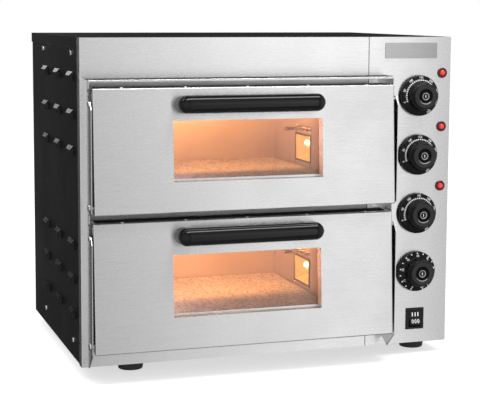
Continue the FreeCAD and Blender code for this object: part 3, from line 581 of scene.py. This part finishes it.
DOOR_CX = 230.7
for pre, dt, hd, lean_h in (("upper_door", 67.7, 90.6, 171.5), ("lower_door", 251.5, 272.8, 180.0)):
    b = Build()
    for i, x in enumerate((-180, -90, 0, 90, 180)):
        screw_head(b, P(DOOR_CX + x, -33.5, dt), (0, 0, 1), 3.0 * MM, 1.3 * MM, 5.0 * MM, 1.5 * MM, turn=0.5 + i)
    lean = math.atan2(10.0, lean_h)
    yface = -38.0 - 10.0 * (hd - dt) / lean_h
    ax = Vector((0, math.cos(lean), -math.sin(lean)))
    for x in (-94.0, 94.0):
        c = P(DOOR_CX + x, yface, hd) + ax * 1.0 * MM
        screw_head(b, c, ax, 4.6 * MM, 2.6 * MM, 13.0 * MM, 2.45 * MM, turn=1.0)
    b.piece(pre + "_screw_set", [M["screw"], M["recess"]], pre, slot="screw_steel", replaces=(pre + "_screws",))


# ------------------------------------------------------------------ bow handles
def handle(pre, dt, hd, lean_h):
    lean = math.atan2(10.0, lean_h)
    yface = -38.0 - 10.0 * (hd - dt) / lean_h
    base = P(DOOR_CX, yface, hd)
    rot = Matrix.Rotation(-lean, 3, "X")
    HL, HH, PR, GAP = 107.0, 12.5, 30.0, 15.0
    GL = 81.0
    xs = []
    k = 40
    for i in range(k + 1):
        xs.append(-HL + HH * (1 - math.cos(math.pi / 2 * i / k)))
    xs += list(np.linspace(-HL + HH, -GL + 9, 22)[1:])
    xs += list(np.linspace(-GL + 9, GL - 9, 28)[1:])
    xs += list(np.linspace(GL - 9, HL - HH, 22)[1:])
    for i in range(1, k + 1):
        xs.append(HL - HH + HH * math.sin(math.pi / 2 * i / k))
    nf, ns = 40, 6
    rows, verts = [], []
    for x in xs:
        ax = abs(x)
        over = max(0.0, ax - (HL - HH))
        h = math.sqrt(max(0.0, HH * HH - over * over))
        h = max(h, 0.35)
        e = min(1.0, max(0.0, (ax - (HL - 15.0)) / 15.0))
        p = PR * (1.0 - 0.42 * (1.0 - math.sqrt(1.0 - e * e)))
        # finger gap with rounded shoulders
        t = (GL - ax) / 8.0
        if t <= 0:
            gap = 0.0
        elif t >= 1:
            gap = GAP
        else:
            gap = GAP * math.sqrt(1 - (1 - t) ** 2)
        loop = []
        for i in range(nf + 1):
            a = math.pi * i / nf
            c, s = math.cos(a), math.sin(a)
            z = h * math.copysign(abs(c) ** 0.92, c)
            start = p * 0.58
            y = start + (p - start) * (max(0.0, s) ** 0.9)
            loop.append((y, z))
        z_b = loop[-1][1]
        back = []
        r = min(2.2, h * 0.6)
        yb = gap
        for i in range(ns + 1):
            a = math.pi / 2 * i / ns
            back.append((yb + r * (1 - math.sin(a)) if gap > 0.01 else 0.0, -h + r * (1 - math.cos(a)) if gap > 0.01 else -h + 0.0 * i))
        top = [(y, -z) for y, z in reversed(back)]
        full = loop + back + top
        row = []
        for y, z in full:
            row.append(len(verts))
            verts.append(base + rot @ (Vector((x, -y, z)) * MM))
        rows.append(row)
    faces = []
    n = len(rows[0])
    for i in range(len(rows) - 1):
        for j in range(n):
            q = (j + 1) % n
            faces.append([rows[i][j], rows[i][q], rows[i + 1][q], rows[i + 1][j]])
    faces.append(list(reversed(rows[0])))
    faces.append(list(rows[-1]))
    return add_mesh(pre + "_bow_handle", verts, faces, M["handle"], pre, slot="bakelite", replaces=(pre + "_handle",), sharp=50)


handle("upper_door", 67.7, 90.6, 171.5)
handle("lower_door", 251.5, 272.8, 180.0)


# ------------------------------------------------------------------ dials
def text_mesh(body_text, size, extrude):
    cu = bpy.data.curves.new("t", "FONT")
    cu.body = body_text
    cu.size = size
    cu.align_x = "CENTER"
    cu.align_y = "CENTER"
    cu.extrude = extrude
    cu.resolution_u = 3
    tmp = bpy.data.objects.new("t", cu)
    scene.collection.objects.link(tmp)
    bpy.context.view_layer.update()
    me = bpy.data.meshes.new_from_object(tmp)
    verts = [v.co.copy() for v in me.vertices]
    faces = [list(p.vertices) for p in me.polygons]
    bpy.data.objects.remove(tmp)
    bpy.data.curves.remove(cu)
    bpy.data.meshes.remove(me)
    return verts, faces


def dial_surface(r):
    """Height of the dial cone in front of the panel at radius r, mm (negative is forwards)."""
    return -7.0 - (29.0 - r) / (29.0 - 21.6) * 3.4


def knob(name, centre_d, body, numerals, step, start, ticks_per, tick_r, num_r, rim_ticks=False):
    c = P(508.0, 0, centre_d)
    b = Build()
    R = 30.0
    prof = [(0.0, -2.5), (3.0, -2.5), (R - 2.0, -2.5), (R - 0.5, -2.9), (R, -3.7), (R, -5.6), (R - 0.3, -6.5), (R - 1.0, -7.0),
            (27.5, dial_surface(27.5)), (25.5, dial_surface(25.5)), (23.5, dial_surface(23.5)), (21.9, dial_surface(21.9)),
            (21.2, -10.8), (20.9, -11.6), (20.7, -14.0), (20.4, -18.0), (20.0, -22.0), (19.7, -24.0), (19.2, -25.4),
            (18.4, -26.3), (17.2, -26.85), (15.5, -27.0), (12.6, -26.95), (11.4, -26.75), (10.9, -26.4), (9.6, -25.3), (8.6, -25.0),
            (7.0, -25.0), (6.3, -25.1), (5.8, -25.5), (5.5, -26.2), (5.0, -26.4), (4.5, -26.2), (4.2, -25.7), (3.4, -25.6), (0.0, -25.6)]
    flute = {14: 1.0, 15: 1.0, 16: 1.0, 17: 0.9, 18: 0.5, 13: 0.6}

    def wobble(i, a):
        return -0.42 * MM * flute.get(i, 0.0) * (0.5 + 0.5 * math.cos(48 * a)) ** 2

    face_mats = [0] * (len(prof) - 1)
    for i in range(20, 24):
        face_mats[i] = 1
    for i in range(24, 30):
        face_mats[i] = 3
    for i in range(30, 33):
        face_mats[i] = 2
    b.lathe([(r * MM, -y * MM) for r, y in prof], c, (0, -1, 0), 192, wobble=wobble, mats=face_mats)
    b.piece(name + "_dial", [M["knob"], M["knob_face"], M["knob_ring"], M["knob_well"]], body, slot="knob_plastic", replaces=(name,), sharp=40)

    t = Build()

    def at(r, ang, lift):
        y = dial_surface(r)
        return c + Vector((math.cos(ang) * r, y - lift, math.sin(ang) * r)) * MM

    total = len(numerals)
    for i, txt in enumerate(numerals):
        a0 = math.radians(start - step * i)
        verts, faces = text_mesh(txt, 4.3, 0.05)
        out = [at(num_r + v.y, a0 - v.x / num_r, 0.06 + (v.z + 0.05)) for v in verts]
        t.add(out, faces)
    n_ticks = (total - 1) * ticks_per + 1
    for i in range(n_ticks):
        a0 = math.radians(start - step * i / ticks_per)
        major = i % ticks_per == 0
        half = (1.0 if major else 0.85) / tick_r * (0.85 if rim_ticks else 0.8)
        r0, r1 = (tick_r - 1.3, tick_r + 0.6) if rim_ticks else (tick_r - 1.0, tick_r + 0.9)
        v = []
        for lift in (0.0, 0.16):
            for rr, s in ((r0, -1), (r1, -1), (r1, 1), (r0, 1)):
                v.append(at(rr, a0 + s * half, lift))
        t.add(v, [[0, 1, 2, 3], [7, 6, 5, 4], [0, 4, 5, 1], [1, 5, 6, 2], [2, 6, 7, 3], [3, 7, 4, 0]])
    # pointer mark on the cap
    cap = c + Vector((0, -25.6, 0)) * MM
    t.box(cap + Vector((-0.35, -0.22, -1.9)) * MM, cap + Vector((0.35, 0.03, 1.9)) * MM)
    # painted highlight: a light grey arc on the lower left of the cap's shoulder, where the rim catches the light
    arc = []
    for i in range(25):
        a = math.radians(205 + 115 * i / 24)
        w = 0.55 * math.sin(math.pi * i / 24) ** 0.5 + 0.05
        arc.append([c + Vector((math.cos(a) * r, y, math.sin(a) * r)) * MM
                    for r, y in ((10.9 - w, -26.2), (10.9 + w, -26.9), (10.9 + w, -26.6), (10.9 - w, -25.9))])
    v = [p for ring in arc for p in ring]
    f = [[4 * i + j, 4 * i + (j + 1) % 4, 4 * i + 4 + (j + 1) % 4, 4 * i + 4 + j] for i in range(24) for j in range(4)]
    t.add(v, f + [[3, 2, 1, 0], [96, 97, 98, 99]], 1)
    t.piece(name + "_markings_and_rim_highlight", [M["print"], M["knob_ring"]], body, slot="knob_plastic", sharp=30)


M["knob_ring"] = plastic("knob_cap_ring", (0.22, 0.22, 0.22), 0.3, 900.0)
temps = ["0", "50", "100", "150", "200", "250", "300", "350"]
for i, d in enumerate((86.4, 174.2, 262.0)):
    knob(f"temp_knob_{i + 1}", d, f"temp_knob_{i + 1}_body", temps, 37.0, 200.0, 5, 23.3, 26.9)
knob("timer_knob", 349.8, "timer_knob_body", ["0", "15", "30", "45", "60", "75", "90", "105", "120"], 40.0, 250.0, 2, 28.0, 24.2, True)

# ------------------------------------------------------------------ pilot lights
bz, ls = Build(), Build()
for d in (53.3, 132.9, 222.2):
    c = P(546.2, 0, d)
    bz.lathe([(r * MM, h * MM) for r, h in ((4.2, -5.0), (6.2, -5.0), (6.2, -0.02), (7.7, -0.02), (7.7, 1.0), (7.4, 1.8), (6.9, 2.3),
                                            (6.2, 2.5), (5.3, 2.35), (4.6, 1.9), (4.2, 1.2), (4.2, -5.0))], c, (0, -1, 0), 64)
    ls.lathe([(r * MM, h * MM) for r, h in ((0.0, -4.9), (4.15, -4.9), (4.15, 1.3), (4.05, 2.0), (3.75, 2.9), (3.2, 3.5), (2.5, 3.95),
                                            (1.7, 4.15), (0.9, 4.2), (0.0, 4.2))], c, (0, -1, 0), 64)
bz.piece("pilot_rings", M["bezel"], "cabinet", slot="bezel_black", replaces=("pilot_bezels",))
ls.piece("pilot_domes", M["pilot"], "cabinet", slot="pilot_red", replaces=("pilot_lenses",))


# ------------------------------------------------------------------ rocker legends
def rocker_point(x, z, lift=0.0):
    curve = [(-8.4, -11.0), (-8.0, -9.0), (-7.0, -3.0), (-6.8, 0.0), (-7.0, 3.0), (-8.0, 9.0), (-8.4, 11.0)]
    y = np.interp(z, [p[1] for p in curve], [p[0] for p in curve]) - lift
    t = math.radians(-10.0)
    return P(508.5 + x, 4.0, 422.5) + Vector((0, y * math.cos(t) - z * math.sin(t), y * math.sin(t) + z * math.cos(t))) * MM


def strip(b, x0, x1, z0, z1, lift=0.22, mat=0):
    v = [rocker_point(x, z, l) for l in (-0.05, lift) for x, z in ((x0, z0), (x1, z0), (x1, z1), (x0, z1))]
    b.add(v, [[0, 3, 2, 1], [4, 5, 6, 7], [0, 1, 5, 4], [1, 2, 6, 5], [2, 3, 7, 6], [3, 0, 4, 7]], mat)


b = Build()
for k, x in enumerate((-4.6, 0.0, 4.6)):
    strip(b, x - 0.75, x + 0.75, 2.3, 8.3, mat=0)
    r_out, r_in, n = (1.75, 3.0), (0.85, 1.9), 20
    cz = -5.2
    ring = []
    for l in (-0.05, 0.22):
        for rr in (r_out, r_in):
            for j in range(n):
                a = 2 * math.pi * j / n
                ring.append(rocker_point(x + rr[0] * math.cos(a), cz + rr[1] * math.sin(a), l))
    f = []
    for j in range(n):
        q = (j + 1) % n
        f += [[2 * n + j, 2 * n + q, 3 * n + q, 3 * n + j], [j, n + j, n + q, q], [j, q, 2 * n + q, 2 * n + j], [n + j, 3 * n + j, 3 * n + q, n + q]]
    b.add(ring, f, 1)
b.piece("rocker_legends", [M["print"], M["print_green"]], "rocker_body", slot="switch_black", sharp=30)

# ------------------------------------------------------------------ feet
b = Build()
for fx in (81.0, 526.0):
    for fy in (48.0, 342.0):
        c = P(fx, fy, 459.0)
        prof = [(0.0, -0.1), (18.2, -0.1), (18.9, -0.5), (19.0, -1.2), (19.0, -4.6), (18.6, -5.0), (18.6, -5.8), (18.95, -6.2), (18.7, -9.0),
                (18.3, -12.5), (17.8, -16.2), (17.5, -17.2), (16.8, -17.8), (15.8, -18.0), (12.0, -18.0), (11.6, -17.4), (8.4, -17.4), (8.0, -18.0),
                (6.6, -18.0), (6.2, -17.6), (6.0, -17.0), (6.0, -10.0), (0.0, -10.0)]
        b.lathe([(r * MM, h * MM) for r, h in prof], c, (0, 0, 1), 72)
b.piece("rubber_feet", M["rubber"], "cabinet", slot="rubber", replaces=("feet",))


# ------------------------------------------------------------------ baking stones
def stone(name, node, seed):
    lo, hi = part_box(node)
    r = 1.5 * MM
    nx, ny = 126, 116

    def axis_pts(a, c, n):
        edge = [a + r * (1 - math.cos(t)) for t in np.linspace(0, math.pi / 2, 4)]
        inner = list(np.linspace(a + r, c - r, n))[1:-1]
        return edge + inner + [c - r * (1 - math.cos(t)) for t in np.linspace(math.pi / 2, 0, 4)]

    xs, ys = axis_pts(lo.x, hi.x, nx), axis_pts(lo.y, hi.y, ny)

    def drop(v, a, c):
        e = min(v - a, c - v)
        return r if e <= 0 else (0.0 if e >= r else r - math.sqrt(max(0.0, r * r - (r - e) ** 2)))

    verts, top, bot = [], [], []
    for x in xs:
        row = []
        for y in ys:
            dz = min(r, max(drop(x, lo.x, hi.x), drop(y, lo.y, hi.y)))
            p = Vector((x, y, hi.z))
            q = p * 240.0 + Vector((seed, 0, 0))
            rough = noise.noise(q) * 0.10 + noise.noise(q * 3.1) * 0.08
            pit = max(0.0, noise.noise(p * 520.0 + Vector((9, seed, 3))) - 0.42) * -0.9
            row.append(len(verts))
            verts.append(Vector((x, y, hi.z - dz - 0.12 * MM + (rough + pit) * MM)))
        top.append(row)
    for x in xs:
        row = []
        for y in ys:
            dz = min(r, max(drop(x, lo.x, hi.x), drop(y, lo.y, hi.y)))
            row.append(len(verts))
            verts.append(Vector((x, y, lo.z + dz)))
        bot.append(row)
    faces = []
    a, c = len(xs), len(ys)
    for i in range(a - 1):
        for j in range(c - 1):
            faces.append([top[i][j], top[i + 1][j], top[i + 1][j + 1], top[i][j + 1]])
            faces.append([bot[i][j], bot[i][j + 1], bot[i + 1][j + 1], bot[i + 1][j]])
    for i in range(a - 1):
        faces.append([top[i][0], bot[i][0], bot[i + 1][0], top[i + 1][0]])
        faces.append([top[i][c - 1], top[i + 1][c - 1], bot[i + 1][c - 1], bot[i][c - 1]])
    for j in range(c - 1):
        faces.append([top[0][j], top[0][j + 1], bot[0][j + 1], bot[0][j]])
        faces.append([top[a - 1][j], bot[a - 1][j], bot[a - 1][j + 1], top[a - 1][j + 1]])
    add_mesh(name, verts, faces, M["stone"], "cabinet", slot="stone", replaces=(node,), sharp=60)


stone("upper_baking_stone", "upper_stone", 3.0)
stone("lower_baking_stone", "lower_stone", 11.0)

# ------------------------------------------------------------------ lamp window frames inside the chambers
CH_X1 = 411.0
b = Build()
for d0, d1 in ((163.0, 203.0), (364.0, 404.0)):
    y0, y1 = 190.0, 256.0
    xa, xb = CH_X1 - 1.1, CH_X1 - 0.1
    w = 2.6

    def bar(ya, yb, da, db):
        lo = P(xa, ya, db)
        hi = P(xb, yb, da)
        b.box(lo, hi, 0)

    bar(y0 - w, y1 + w, d0 - w, d0)
    bar(y0 - w, y1 + w, d1, d1 + w)
    bar(y0 - w, y0, d0, d1)
    bar(y1, y1 + w, d0, d1)
    for yy in (y0 + 2, y1 - 2):
        for dd in (d0 - 6.5, d1 + 5.0):
            screw_head(b, P(CH_X1 - 0.02, yy, dd), (-1, 0, 0), 2.6 * MM, 1.6 * MM, mat=1, dark=2)
b.piece("lamp_window_frames", [M["lamp_frame"], M["screw"], M["recess"]], "cabinet", slot="screw_steel", sharp=30)

# ------------------------------------------------------------------ dark strips that paint shade in the casing's seams and gaps
sb = Build()
# painted shade: a dark strip behind the seam between the fascia and the control panel, so the gap reads dark
sb.box(P(427.5, 0.35, 457.5), P(428.5, 0.95, 1.6))
# painted shade: a dark sheet on the top of the hood, for the shade line along it
sb.box(P(6.2, -28.0, 56.35), P(455.0, -0.15, 55.75))
sb.piece("seam_and_hood_shade_strips", M["rubber"], "cabinet", slot="rubber", sharp=30)
for pre, dt in (("upper_door", 67.7), ("lower_door", 251.5)):
    # painted shade: a dark strip along the door's top fold stands in for the shade gap at the door's top edge
    gk = Build()
    n = 60
    rows = []
    for i in range(n + 1):
        x = 16.0 + (445.0 - 16.0) * i / n
        w = 0.25 * math.sin(i * 1.7) + 0.15 * math.sin(i * 4.1)
        rows.append([P(x, -28.0 + w, dt), P(x, -27.4 + w, dt - 0.7), P(x, -8.0, dt - 0.7), P(x, -7.4, dt)])
    v = [p for row in rows for p in row]
    f = [[4 * i + j, 4 * i + (j + 1) % 4, 4 * i + 4 + (j + 1) % 4, 4 * i + 4 + j] for i in range(n) for j in range(4)]
    gk.add(v, f + [[3, 2, 1, 0], [4 * n, 4 * n + 1, 4 * n + 2, 4 * n + 3]])
    gk.piece(pre + "_top_shade_strip", M["rubber"], pre, slot="rubber", sharp=30)
fl = Build()
# painted shade: dark dashes along the lower edge of the top cover's flange stand in for the shadow gap at the seam
y = 8.0
while y < 384.0:
    fl.box(P(-0.12, y, 14.9), P(0.25, min(y + 6.2, 388.0), 13.9))
    fl.box(P(559.75, y, 14.9), P(560.12, min(y + 6.2, 388.0), 13.9))
    y += 9.4
fl.piece("flange_shadow_dashes", M["rubber"], "cabinet", slot="rubber", sharp=30)

# ------------------------------------------------------------------ floor
def make_floor():
    m, nt, b = material("studio_floor", (0.5, 0.5, 0.5), 0.0, 0.8, Specular_IOR_Level=0.2)
    n1 = noise_tex(nt, coords(nt), 3.0, 3.0, 0.5)
    nt.links.new(mix(nt, n1, (0.50, 0.50, 0.50), (0.53, 0.53, 0.53)), b.inputs["Base Color"])
    # lit from below, like a photographer's white acrylic table
    b.inputs["Emission Color"].default_value = (1, 1, 1, 1)
    b.inputs["Emission Strength"].default_value = 0.6
    return m


me = bpy.data.meshes.new("floor")
S = 6.0
me.from_pydata([(-S, -S, 0), (S, -S, 0), (S, S, 0), (-S, S, 0)], [], [[0, 1, 2, 3]])
floor = bpy.data.objects.new("floor", me)
me.materials.append(make_floor())
scene.collection.objects.link(floor)
floor.visible_glossy = False

# ------------------------------------------------------------------ camera
SY, F_PX, SX = -40.0, 1353.2, -0.75
cam_d = bpy.data.cameras.new("camera")
cam = bpy.data.objects.new("camera", cam_d)
scene.collection.objects.link(cam)
scene.camera = cam
cam_d.sensor_width = 36.0
cam_d.lens = F_PX * 36.0 / 480.0
cam_d.shift_x = -SX / 480.0
cam_d.shift_y = SY / 480.0
cam_d.clip_start, cam_d.clip_end = 0.05, 60.0
yaw, pitch, roll = math.radians(18.096), math.radians(6.334), math.radians(0.252)
fw = Vector((math.sin(yaw) * math.cos(pitch), math.cos(yaw) * math.cos(pitch), -math.sin(pitch)))
rt = Vector((math.cos(yaw), -math.sin(yaw), 0))
up = rt.cross(fw)
r2 = rt * math.cos(roll) + up * math.sin(roll)
u2 = up * math.cos(roll) - rt * math.sin(roll)
rotm = Matrix((r2, u2, -fw)).transposed().to_4x4()
# fitted position: x from the body centre, y from the front plate, z above the body top, mm
cam.matrix_world = Matrix.Translation(Vector((-0.64519, Y_FRONT - 1.82049, Z_TOP + 0.03845))) @ rotm

# ------------------------------------------------------------------ light
world = bpy.data.worlds.new("studio")
scene.world = world
world.use_nodes = True
wn = world.node_tree
wn.nodes.clear()
w_out = wn.nodes.new("ShaderNodeOutputWorld")
w_bg = wn.nodes.new("ShaderNodeBackground")
wn.links.new(w_bg.outputs[0], w_out.inputs[0])
tc = wn.nodes.new("ShaderNodeTexCoord")
sep = wn.nodes.new("ShaderNodeSeparateXYZ")
wn.links.new(tc.outputs["Generated"], sep.inputs[0])
# azimuth from straight ahead of the oven (-y), positive to its right
neg = math_node(wn, "MULTIPLY", sep.outputs["Y"], -1.0)
az = math_node(wn, "ARCTAN2", sep.outputs["X"], neg)
az01 = remap(wn, az, -math.pi, math.pi, 0.0, 1.0)


def az_pos(deg):
    return (deg + 180.0) / 360.0


WORLD_STOPS = [(-180, 0.2), (-175, 0.16), (-168, 0.03), (-140, 0.03), (-112, 0.12), (-88, 0.45), (-40, 0.85), (-8, 0.8), (3, 0.55),
               (8, 0.43), (12, 0.56), (18, 0.94), (24, 1.62), (27, 0.42), (33, 0.3), (42, 0.65), (80, 0.75), (115, 0.4), (148, 0.05),
               (168, 0.05), (175, 0.16), (180, 0.2)]
col = ramp(wn, az01, [(az_pos(a), (v, v, v)) for a, v in WORLD_STOPS])
el = remap(wn, sep.outputs["Z"], -1.0, 1.0, 0.0, 1.0)
UP_STOPS = [(-1.0, 0.4), (-0.7, 0.5), (-0.5, 0.65), (-0.34, 0.85), (-0.17, 0.94), (0.0, 1.0), (0.26, 0.95), (0.5, 0.6), (0.77, 0.4), (1.0, 0.4)]
up_ramp = ramp(wn, el, [((z + 1.0) / 2.0, (v, v, v)) for z, v in UP_STOPS])
col = mix(wn, 1.0, col, up_ramp, "MULTIPLY")
# an even white room for the diffuse light, the shaped room for reflections, white behind the object
lp = wn.nodes.new("ShaderNodeLightPath")
col = mix(wn, lp.outputs["Is Diffuse Ray"], col, (1.05, 1.05, 1.05))
col = mix(wn, lp.outputs["Is Camera Ray"], col, (1.0, 1.0, 1.0))
wn.links.new(col, w_bg.inputs["Color"])
w_bg.inputs["Strength"].default_value = 1.0
world.cycles.sampling_method = "NONE"


def area(name, loc, target, size, size_y, power, colour=(1, 1, 1), spread=math.pi):
    l = bpy.data.lights.new(name, "AREA")
    l.shape = "RECTANGLE"
    l.size, l.size_y = size, size_y
    l.energy = power
    l.color = colour
    l.spread = spread
    o = bpy.data.objects.new(name, l)
    scene.collection.objects.link(o)
    o.visible_camera = False
    o.location = loc
    o.rotation_mode = "QUATERNION"
    o.rotation_quaternion = (Vector(target) - Vector(loc)).to_track_quat("-Z", "Y")
    return o


def point(name, loc, power, colour, radius=0.004):
    l = bpy.data.lights.new(name, "POINT")
    l.energy = power
    l.color = colour
    l.shadow_soft_size = radius
    o = bpy.data.objects.new(name, l)
    scene.collection.objects.link(o)
    o.location = loc
    return o


area("overhead_softbox", (0.1, -1.0, 2.4), (0, -0.25, 0.2), 2.4, 1.2, 12.0)
area("upper_strip", (0.25, -0.95, 2.2), (0, -0.25, 0.3), 2.2, 0.26, 26.0)
area("front_strip", (0.95, -2.9, 0.68), (0, -0.2, 0.3), 1.5, 0.07, 0.75)
area("left_softbox", (-1.7, 0.1, 2.3), (-0.28, 0.05, 0.25), 0.6, 1.2, 10.0)
area("rear_softbox", (-0.88, 2.3, 1.04), (-0.28, 0.0, 0.25), 1.1, 0.34, 4.2)

WARM = (1.0, 0.40, 0.12)
for tag, d_lamp, d_mid, back in (("upper", 183.0, 140.0, 0.62), ("lower", 384.0, 330.0, 0.88)):
    point(tag + "_lamp", P(411.0 + 7.0, 223.0, d_lamp - 8.0), 0.007, (1.0, 0.60, 0.24), 0.004)
    area(tag + "_glow", P(268.0, 150.0, d_mid - 48.0), P(252.0, 358.0, d_mid + 4.0), 0.24, 0.10, back, WARM, spread=2.3)
    area(tag + "_fill", P(60.0, 60.0, d_mid), P(120.0, 358.0, d_mid + 4.0), 0.05, 0.06, 0.34, (1.0, 0.72, 0.72))
